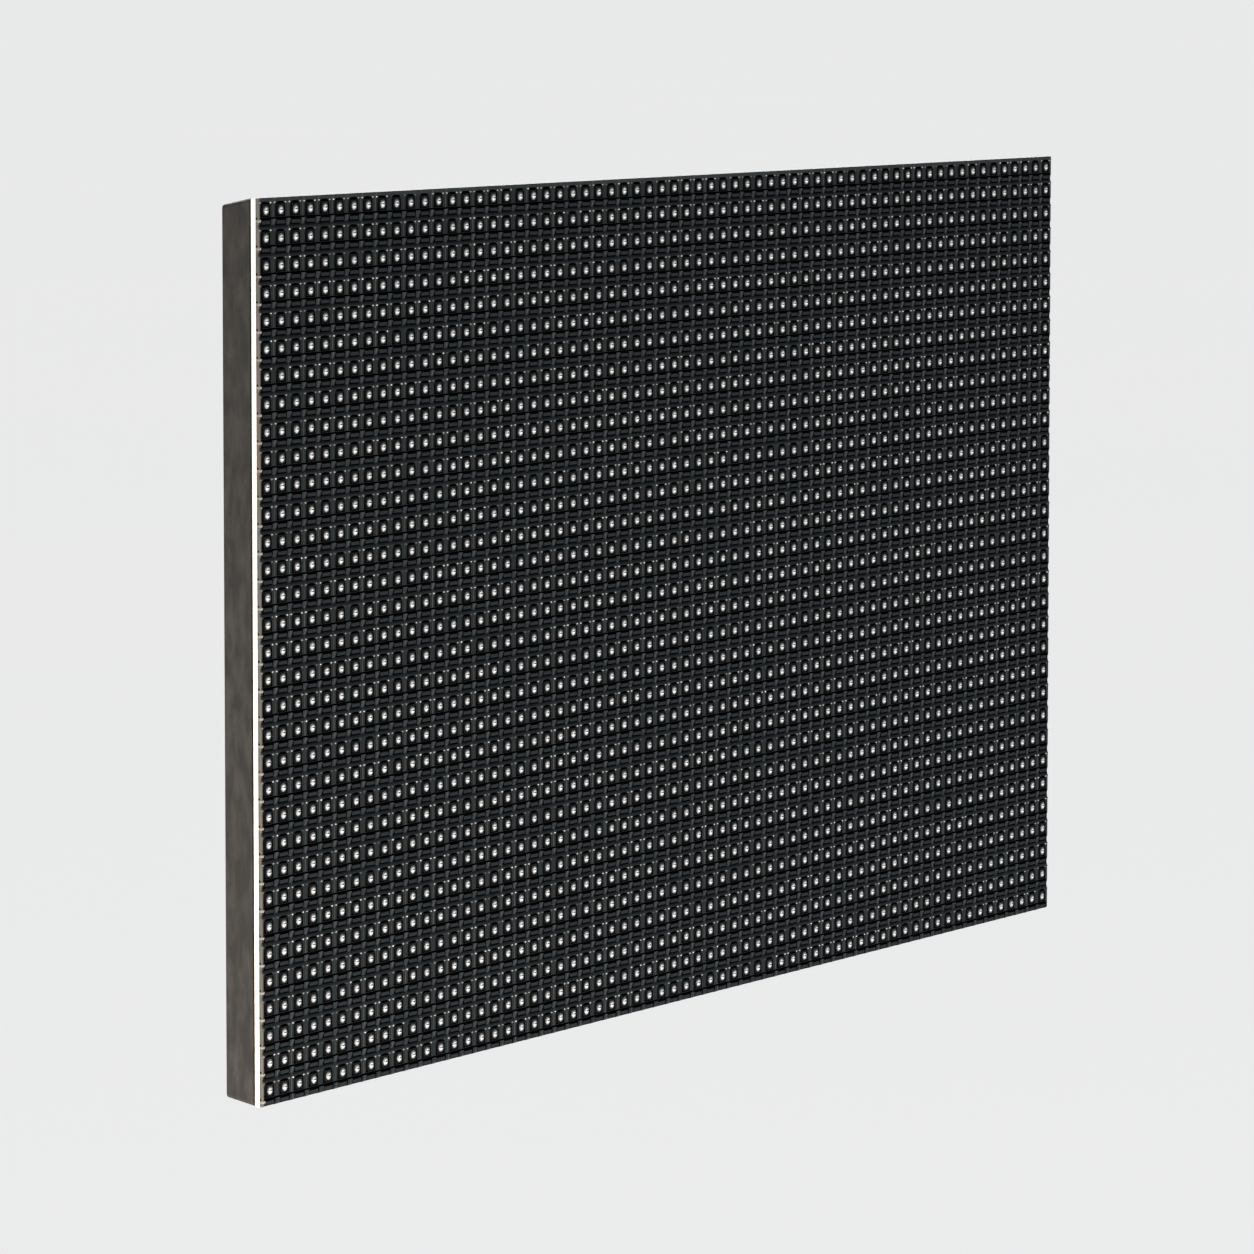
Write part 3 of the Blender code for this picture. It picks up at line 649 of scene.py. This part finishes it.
HEAD_RADIUS = 1.5 * MM
HEAD_SEAT = -1.65 * MM
HEAD_RINGS = ((1.5, -1.2), (1.35, -0.92), (1.0, -0.77), (0.5, -0.75))
CORE_RADIUS = 0.48 * MM
THREAD_RADIUS = 0.6 * MM
SCREW_TIP = -4.75 * MM
SCREW_POINT = 0.5 * MM
SCREW_POINT_SHARE = 0.4
THREAD_TURNS = 6
RECESS_REACH = 0.8 * MM
RECESS_HALF_WIDTH = 0.17 * MM
RECESS_DEPTH = 0.5 * MM


def faces_back(at, face):
    return face.normal.y > 0.9


def faces_front(at, face):
    return face.normal.y < -0.9


def copy_to(model, name, x, z):
    """A copy with its own mesh, moved in X and Z from the Y axis."""
    twin = model.copy()
    twin.data = model.data.copy()
    twin.name = twin.data.name = name
    twin.data.transform(Matrix.Translation((x, 0, z)))
    bpy.context.scene.collection.objects.link(twin)
    return twin


screw = add_round("screw_model", HEAD_RADIUS, HEAD_SEAT, HEAD_RINGS[0][1] * MM)
start_editing(screw)
choose("FACE", faces_back)
follow_rings(HEAD_RINGS)
choose("FACE", faces_front)
bpy.ops.mesh.inset(thickness=HEAD_RADIUS - CORE_RADIUS, depth=0)
turn = (HEAD_SEAT - SCREW_TIP - SCREW_POINT) / THREAD_TURNS
for ring in range(THREAD_TURNS):
    step_end(-0.4 * turn, 1)
    step_end(-0.2 * turn, THREAD_RADIUS / CORE_RADIUS)
    step_end(-0.4 * turn, CORE_RADIUS / THREAD_RADIUS)
step_end(-SCREW_POINT, SCREW_POINT_SHARE)
stop_editing()
recess_floor = HEAD_RINGS[-1][1] * MM - RECESS_DEPTH
long_way, short_way = (-RECESS_REACH, RECESS_REACH), (-RECESS_HALF_WIDTH, RECESS_HALF_WIDTH)
cut(screw, [add_block("recess_along", long_way, (recess_floor, 0), short_way)])
cut(screw, [add_block("recess_across", short_way, (recess_floor + HAIR, HAIR), long_way)])

# Zinc plate: bright blue-grey metal with a slight haze from the plating bath

ZINC = {"grain": 0.3 * MM, "relief": 0.004 * MM, "Metallic": 1.0, "Roughness": 0.3}
dress(screw, Finish("zinc_plated_steel", "#a9adb1", "#cdd0d2", 1.5 * MM, **ZINC).finished())
for number in range(1, MASK_SCREWS + 1):
    node = f"mask_screw_{number}"
    place_in_part(copy_to(screw, f"pan_head_screw_{number}", *middle_of(node)), "screw", node)
bpy.data.objects.remove(screw)

# Threaded inserts: six knurled brass inserts, pressed hot into the frame's bosses, which take the screws
# that fix the module to its cabinet. The thread is drawn as plain rings.

INSERT_RADIUS = 2.4 * MM
INSERT_BORE = 1.25 * MM
INSERT_ENDS = (-0.65 * MM, 3.95 * MM)
KNURL_DEPTH = 0.15 * MM
INSERT_SIDES = 36
INSERT_COUNT = 6
INSERT_THREADS = 7
THREAD_GROWTH = 1.16
COLLAR_SHARE = 0.25

insert_core = INSERT_RADIUS - KNURL_DEPTH
insert = add_round("insert_model", insert_core, *INSERT_ENDS, sides=INSERT_SIDES)
start_editing(insert)
collar = COLLAR_SHARE * (INSERT_ENDS[1] - INSERT_ENDS[0])
for level in (INSERT_ENDS[0] + collar, INSERT_ENDS[1] - collar, INSERT_ENDS[1] - 0.5 * collar):
    slice_at("Y", level)


def on_knurl(at, face):
    """Every other side face in the two knurled bands."""
    side = round(math.atan2(at.z, at.x) / (2 * math.pi) * INSERT_SIDES - 0.5)
    banded = at.y < INSERT_ENDS[1] - collar
    return abs(face.normal.y) < 0.1 and side % 2 == 0 and banded


def at_insert_end(at, face):
    return (faces_back(at, face) or faces_front(at, face)) and len(face.verts) > 8


choose("FACE", on_knurl)
step_end(0, INSERT_RADIUS / insert_core)
choose("FACE", at_insert_end)
bpy.ops.mesh.inset(thickness=insert_core - INSERT_BORE, depth=0, use_individual=True)
bpy.ops.mesh.delete(type="FACE")
choose("EDGE", at_open_edge)
bpy.ops.mesh.bridge_edge_loops(number_cuts=2 * INSERT_THREADS)
ring_step = (INSERT_ENDS[1] - INSERT_ENDS[0]) / (2 * INSERT_THREADS + 1)


def in_thread(at, vert):
    """The points of every other ring in the bore."""
    ring = round((at.y - INSERT_ENDS[0]) / ring_step)
    return math.hypot(at.x, at.z) < 1.1 * INSERT_BORE and ring % 2 == 1 and ring < 2 * INSERT_THREADS + 1


choose("VERT", in_thread)
bpy.ops.transform.resize(value=(THREAD_GROWTH, 1, THREAD_GROWTH), center_override=(0, 0, 0))
bpy.ops.mesh.select_all(action="SELECT")
bpy.ops.mesh.normals_make_consistent(inside=False)
stop_editing()

# Turned brass: warm yellow metal with crisp highlights on its knurl

BRASS = {"grain": 0.3 * MM, "relief": 0.004 * MM, "Metallic": 1.0, "Roughness": 0.28}
dress(insert, Finish("turned_brass", "#b08a45", "#d3b06a", 2 * MM, **BRASS).finished())
for number in range(1, INSERT_COUNT + 1):
    node = f"threaded_insert_{number}"
    place_in_part(copy_to(insert, f"brass_insert_{number}", *middle_of(node)), "insert", node)
bpy.data.objects.remove(insert)

# Drive chips: moulded black epoxy bodies on gull-wing leads of tinned copper, soldered to the board's back.
# Each kind is made once, with a dimple and no lettering, and copied. A kind has a number of copies, a body's
# width and height, a number of leads on a side and their spacing, all sizes in millimetres.

SOLDER_FACE = -4.75 * MM
LEAD_THICKNESS = 0.2 * MM
LEAD_FOOT = 0.6 * MM
LEAD_ROOT = 0.2 * MM
DIMPLE = 0.35 * MM
DIMPLE_DEPTH = 0.08 * MM
CHIP_EDGE = 0.05 * MM
CHIP_TOP_SHARE = 0.95
CHIP_BASE_SHARE = 0.96
CHIP_KINDS = {
    "driver_chip": (24, 3.9, 1.6, 12, 0.635),
    "row_switch_chip": (6, 3.9, 1.5, 4, 1.27),
    "buffer_chip": (2, 7.5, 2.3, 10, 1.27),
    "row_decoder_chip": (1, 3.9, 1.6, 8, 1.27),
}

# Moulded epoxy: dark grey and dull, a little lighter than the board; tinned copper: dull silver

epoxy = Finish("moulded_black_epoxy", "#191a1b", "#26282a", 4 * MM, Roughness=0.55).finished()
TIN = {"grain": 0.3 * MM, "relief": 0.01 * MM, "Metallic": 1.0, "Roughness": 0.35}
tinned = Finish("tinned_copper", "#b4b6b6", "#d6d7d5", 1.5 * MM, **TIN).finished()


def gull_wing(step, count, half_body, half_span, height):
    """A row of leads along one side: out of the body, down and along the board."""
    half_width = 0.2 * step
    shoulder = SOLDER_FACE + height / 2
    bend = half_span - LEAD_FOOT
    first = -(count - 1) / 2 * step
    across = (first - half_width, first + half_width)
    lead = add_block("lead", across, (shoulder - LEAD_THICKNESS, shoulder), (half_body - LEAD_ROOT, bend))
    start_editing(lead)
    slice_at("Z", bend - LEAD_THICKNESS)
    choose("FACE", lambda at, face: faces_front(at, face) and at.z > bend - LEAD_THICKNESS)
    drop = shoulder - LEAD_THICKNESS - SOLDER_FACE
    extrude(0, LEAD_THICKNESS - drop, 0)
    extrude(0, -LEAD_THICKNESS, 0)
    foot_top = SOLDER_FACE + LEAD_THICKNESS
    choose("FACE", lambda at, face: face.normal.z > 0.9 and at.y < foot_top)
    extrude(0, 0, LEAD_FOOT)
    stop_editing()
    repeat(lead, count, (step, 0, 0))
    return lead


for kind, (copies, width, height, count, step) in CHIP_KINDS.items():
    low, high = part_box(f"{kind}_1")
    half_length, half_span = (high[0] - low[0]) / 2, (high[2] - low[2]) / 2
    half_body, tall, step = width * MM / 2, height * MM, step * MM
    seam_y = (SOLDER_FACE + LEAD_THICKNESS, SOLDER_FACE + tall / 2)
    chip = add_block("chip", (-half_length, half_length), seam_y, (-half_body, half_body))
    start_editing(chip)
    choose("FACE", faces_back)
    step_end(tall / 2, CHIP_TOP_SHARE)
    choose("FACE", faces_front)
    bpy.ops.transform.resize(value=(CHIP_BASE_SHARE, 1, CHIP_BASE_SHARE), center_override=(0, 0, 0))
    stop_editing()
    top = SOLDER_FACE + tall
    dimple = add_round("dimple", DIMPLE, top - DIMPLE_DEPTH, top + DIMPLE, sides=12)
    dimple.data.transform(Matrix.Translation((3 * DIMPLE - half_length, 0, 3 * DIMPLE - half_body)))
    cut(chip, [dimple])
    soften(chip, CHIP_EDGE)
    dress(chip, epoxy)
    leads = gull_wing(step, count, half_body, half_span, tall)
    dress(leads, tinned)
    mirrored = copy_to(leads, "mirrored_leads", 0, 0)
    mirrored.data.transform(Matrix.Rotation(math.pi, 4, "Y"))
    join_to(chip, [leads, mirrored])
    for number in range(1, copies + 1):
        node = f"{kind}_{number}"
        place_in_part(copy_to(chip, f"dressed_{node}", *middle_of(node)), "chip", node)
    bpy.data.objects.remove(chip)

# Small parts: a decoupling capacitor and a setting resistor beside each driver chip, both of ceramic with
# tinned ends. They are placed by machine and soldered to the back of the board.

SMALL_SIZE = (1.6 * MM, 0.5 * MM, 0.8 * MM)
SMALL_END = 0.3 * MM
SMALL_RISE = 4.6 * MM
SMALL_ASIDE = 2.4 * MM

small = []
for number in range(1, CHIP_KINDS["driver_chip"][0] + 1):
    x, z = middle_of(f"driver_chip_{number}")
    for side, middle_finish in ((-1, 1), (1, 2)):
        where = (x + side * SMALL_ASIDE, z - math.copysign(SMALL_RISE, z))
        span_x = (where[0] - SMALL_SIZE[0] / 2, where[0] + SMALL_SIZE[0] / 2)
        span_z = (where[1] - SMALL_SIZE[2] / 2, where[1] + SMALL_SIZE[2] / 2)
        block = add_block("small_part", span_x, (BOARD_BACK, BOARD_BACK + SMALL_SIZE[1]), span_z)
        start_editing(block)
        slice_at("X", span_x[0] + SMALL_END)
        slice_at("X", span_x[1] - SMALL_END)
        stop_editing()
        dress(block, tinned, epoxy, laminate)
        for face in block.data.polygons:
            if abs(face.center.x - where[0]) < SMALL_SIZE[0] / 2 - SMALL_END:
                face.material_index = middle_finish
        small.append(block)
join_to(small[0], small[1:])
small_parts = small[0]
small_parts.name = small_parts.data.name = "small_resistors_and_capacitors"
place_in_part(small_parts, "board", "led_board")

# Data headers: two box headers for ribbon plugs, moulded in black nylon and soldered to the board, with
# sixteen gold-flashed square pins and a slot in one long wall that keys the plug.

HEADER_WALL = 1.2 * MM
HEADER_FLOOR = 2.5 * MM
HEADER_GRID = 2.54 * MM
HEADER_PINS = 8
HEADER_EDGE = 0.12 * MM
PIN_HALF_WIDTH = 0.32 * MM
PIN_REACH = 7.1 * MM
KEY_HALF_WIDTH = 2.25 * MM
KEY_DEPTH = 5 * MM
FOOT_RECESS = 0.5 * MM
FOOT_HALF_WIDTH = 1 * MM
FOOT_LEVELS = (-0.6, 0, 0.6)


def add_pin(half_width, root, tip):
    """A square pin with a chamfered point, along the Y axis."""
    pin = add_block("pin", (-half_width, half_width), (root, tip - half_width), (-half_width, half_width))
    start_editing(pin)
    choose("FACE", faces_back)
    step_end(half_width, 0.5)
    stop_editing()
    return pin


low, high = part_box("data_in_header")
half_width, half_length = (high[0] - low[0]) / 2, (high[2] - low[2]) / 2
header = add_block("header_model", (-half_width, half_width), (low[1], high[1]), (-half_length, half_length))
start_editing(header)
choose("FACE", faces_back)
bpy.ops.mesh.inset(thickness=HEADER_WALL, depth=0)
extrude(0, low[1] + HEADER_FLOOR - high[1], 0)
stop_editing()
key_x = (-half_width - HEADER_WALL, 1.5 * HEADER_WALL - half_width)
key_y = (high[1] - KEY_DEPTH, high[1] + HEADER_WALL)
cut(header, [add_block("key", key_x, key_y, (-KEY_HALF_WIDTH, KEY_HALF_WIDTH))])
notches = []
for side in (-1, 1):
    notch_x = (side * half_width - FOOT_RECESS, side * half_width + FOOT_RECESS)
    for level in FOOT_LEVELS:
        notch_z = (level * half_length - FOOT_HALF_WIDTH, level * half_length + FOOT_HALF_WIDTH)
        notches.append(add_block("notch", notch_x, (low[1] - FOOT_HALF_WIDTH, low[1] + FOOT_RECESS), notch_z))
cut(header, notches)
soften(header, HEADER_EDGE)

# Black nylon: smooth, with a soft sheen; gold flash over bronze: bright and pale yellow

nylon = Finish("black_nylon", "#17181a", "#232527", 8 * MM, Roughness=0.42).finished()
GOLD = {"relief": 0.0, "Metallic": 1.0, "Roughness": 0.25}
gold = Finish("gold_flashed_phosphor_bronze", "#c79a4b", "#e6c172", 2 * MM, **GOLD).finished()
dress(header, nylon)
pins = add_pin(PIN_HALF_WIDTH, low[1] + 0.5 * HEADER_FLOOR, low[1] + PIN_REACH)
pins.data.transform(Matrix.Translation((-HEADER_GRID / 2, 0, -(HEADER_PINS - 1) * HEADER_GRID / 2)))
dress(pins, gold)
repeat(pins, 2, (HEADER_GRID, 0, 0))
repeat(pins, HEADER_PINS, (0, 0, HEADER_GRID))
join_to(header, [pins])
for node in ("data_in_header", "data_out_header"):
    place_in_part(copy_to(header, f"dressed_{node}", *middle_of(node)), "black_header", node)
bpy.data.objects.remove(header)

# Power header: a wafer moulded in white nylon, with one tall wall that the plug latches over, a low lip in
# front of it and four tinned square pins, soldered to the back of the board.

POWER_WALL = 1.2 * MM
POWER_FLOOR = 3.2 * MM
POWER_GRID = 3.96 * MM
POWER_PINS = 4
POWER_PIN_HALF = 0.55 * MM
POWER_EDGE = 0.15 * MM
WALL_GAP = 0.4 * MM
WALL_GAP_RISE = 1 * MM

low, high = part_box("power_header")
half_length, half_width = (high[0] - low[0]) / 2, (high[2] - low[2]) / 2
floor_y = (low[1], low[1] + POWER_FLOOR)
wafer = add_block("power_wafer", (-half_length, half_length), floor_y, (-half_width, half_width))
start_editing(wafer)
slice_at("Z", half_width - POWER_WALL)
slice_at("Z", POWER_WALL - half_width)
choose("FACE", lambda at, face: faces_back(at, face) and at.z > half_width - POWER_WALL)
extrude(0, high[1] - floor_y[1], 0)
choose("FACE", lambda at, face: faces_back(at, face) and at.z < POWER_WALL - half_width)
extrude(0, 0.5 * POWER_FLOOR, 0)
stop_editing()
gaps = []
gap_y = (floor_y[1] + WALL_GAP_RISE, high[1] + WALL_GAP_RISE)
gap_z = (half_width - 2 * POWER_WALL, half_width + POWER_WALL)
for number in range(1, POWER_PINS):
    x = (number - POWER_PINS / 2) * POWER_GRID
    gaps.append(add_block("gap", (x - WALL_GAP, x + WALL_GAP), gap_y, gap_z))
cut(wafer, gaps)
soften(wafer, POWER_EDGE)

# White nylon: off-white, and slightly translucent at its edges

WHITE_NYLON = {"Roughness": 0.5, "Subsurface_Weight": 0.05}
dress(wafer, Finish("white_nylon", "#dcd8cc", "#efebe0", 8 * MM, **WHITE_NYLON).finished())
power_pins = add_pin(POWER_PIN_HALF, low[1] + 0.5 * POWER_FLOOR, high[1] - POWER_WALL)
power_pins.data.transform(Matrix.Translation((-(POWER_PINS - 1) * POWER_GRID / 2, 0, 0)))
dress(power_pins, tinned)
repeat(power_pins, POWER_PINS, (POWER_GRID, 0, 0))
join_to(wafer, [power_pins])
power_header = copy_to(wafer, "dressed_power_header", *middle_of("power_header"))
place_in_part(power_header, "white_header", "power_header")
bpy.data.objects.remove(wafer)

# Electrolytic capacitors: four aluminium cans rolled in over their bungs, each on a black moulded base with
# two corners cut at its plus side, and with a black sector printed on its minus side.

CAN_RADIUS = 3.15 * MM
CAN_RINGS = (
    (3.15, 1.74),
    (2.89, 2.0),
    (3.15, 2.26),
    (3.15, 5.5),
    (3.05, 5.7),
    (2.85, 5.8),
    (2.7, 5.8),
    (2.6, 5.7),
)
CAN_SINK = 0.3 * MM
CAN_SIDES = 32
CAN_BASE_HALF = 3.3 * MM
CAN_BASE_HEIGHT = 1.1 * MM
CAN_BASE_EDGE = 0.1 * MM
CAN_CORNER = 1.3 * MM
CAN_SMOOTHING = 35
SECTOR = -1.5 * MM
CAPACITORS = 4


def plus_corner(at, edge):
    return at.z > 0.9 * CAN_BASE_HALF and abs(at.x) > 0.9 * CAN_BASE_HALF


base_y = (SOLDER_FACE, SOLDER_FACE + CAN_BASE_HEIGHT)
holder = add_block("can_base", (-CAN_BASE_HALF, CAN_BASE_HALF), base_y, (-CAN_BASE_HALF, CAN_BASE_HALF))
start_editing(holder)
choose("EDGE", plus_corner)
bpy.ops.mesh.bevel(offset=CAN_CORNER, segments=1, affect="EDGES")
stop_editing()
soften(holder, CAN_BASE_EDGE)
can = add_round("can", CAN_RADIUS, base_y[1] - CAN_SINK, SOLDER_FACE + CAN_RINGS[0][1] * MM, CAN_SIDES)
start_editing(can)
choose("FACE", faces_back)
follow_rings(CAN_RINGS)
slice_at("Z", SECTOR)
stop_editing()
bpy.ops.object.shade_smooth_by_angle(angle=math.radians(CAN_SMOOTHING))

# Drawn aluminium: bright grey metal with soft highlights round the can; the print on its end is matt black

ALUMINIUM = {"grain": 0.3 * MM, "relief": 0.006 * MM, "Metallic": 1.0, "Roughness": 0.32}
aluminium = Finish("drawn_aluminium", "#b3b7ba", "#d2d5d7", 3 * MM, **ALUMINIUM).finished()
ink = Finish("black_print", "#141416", "#1f2022", 2 * MM, relief=0.0, Roughness=0.5).finished()
end_face = SOLDER_FACE + CAN_RINGS[-1][1] * MM - HAIR
dress(can, aluminium, ink, pick=lambda face: int(face.center.y > end_face and face.center.z < SECTOR))
dress(holder, nylon)
join_to(can, [holder])
for number in range(1, CAPACITORS + 1):
    node = f"capacitor_{number}"
    place_in_part(copy_to(can, f"dressed_{node}", *middle_of(node)), "capacitor", node)
bpy.data.objects.remove(can)

# Studio: a plain pale floor well below the panel, which hangs as it does when held by its inserts. A sun
# lights the floor, one soft lamp the back, and three the face: at the left, in front and low at the left.

FLOOR = -0.55
FLOOR_SIZE = 900
PAPER = {"relief": 0.0, "Roughness": 0.9, "Specular_IOR_Level": 0.0}

bpy.ops.object.select_all(action="DESELECT")
bpy.ops.mesh.primitive_plane_add(size=FLOOR_SIZE, location=(0, 0, FLOOR))
floor = settle("floor")
dress(floor, Finish("pale_studio_floor", "#e6e7e7", "#e9e8e8", 2500 * MM, **PAPER).finished())


def add_light(kind, name, place, target, power, colour="#ffffff", size=1.0, spread=180):
    """A lamp at a place, turned towards a target."""
    lamp = bpy.data.lights.new(name, kind)
    lamp.energy = power
    lamp.color = linear(colour)[:3]
    if kind == "AREA":
        lamp.size = size
        lamp.spread = math.radians(spread)
    else:
        lamp.angle = size
    holder = bpy.data.objects.new(name, lamp)
    holder.location = place
    holder.rotation_euler = (Vector(target) - Vector(place)).to_track_quat("-Z", "Y").to_euler()
    holder.visible_camera = False
    bpy.context.scene.collection.objects.link(holder)


add_light("SUN", "floor_light", (0, 0, 3), (0, 0, 0), 2.93, size=0.3)
add_light("AREA", "left_light", (-2.0, -1.55, 0.95), (0, 0, 0), 20, size=1.0)
add_light("AREA", "front_light", (0.15, -0.5, -0.45), (0.05, 0, -0.03), 3.8, colour="#f4f8ff", size=0.3)
add_light("AREA", "low_light", (-0.37, -0.13, -0.22), (-0.15, 0, -0.06), 2.3, colour="#fff0e2", size=0.15)
add_light("AREA", "back_light", (0.7, 1.5, 0.6), (0, 0, 0), 8, size=0.8, spread=50)

world = bpy.data.worlds.new("studio")
world.use_nodes = True
bpy.context.scene.world = world
world.node_tree.nodes["Background"].inputs["Color"].default_value = linear("#6f7275")
world.node_tree.nodes["Background"].inputs["Strength"].default_value = 0.5

# the camera: far off to the left with a long lens, where the photograph's outline and rows of LEDs put it

CAMERA_PLACE = (-1.2518, -0.7062, 0.1251)
CAMERA_DIP = 5.29
CAMERA_TURN = 60.272
CAMERA_LENS = 206.77
CAMERA_SENSOR = 36

camera = bpy.data.objects.new("camera", bpy.data.cameras.new("camera"))
camera.data.lens = CAMERA_LENS
camera.data.sensor_width = CAMERA_SENSOR
camera.data.clip_end = 2 * FLOOR_SIZE
camera.location = CAMERA_PLACE
camera.rotation_euler = (math.radians(90 - CAMERA_DIP), 0, math.radians(-CAMERA_TURN))
bpy.context.scene.collection.objects.link(camera)
bpy.context.scene.camera = camera
bpy.context.scene.view_settings.view_transform = "Standard"
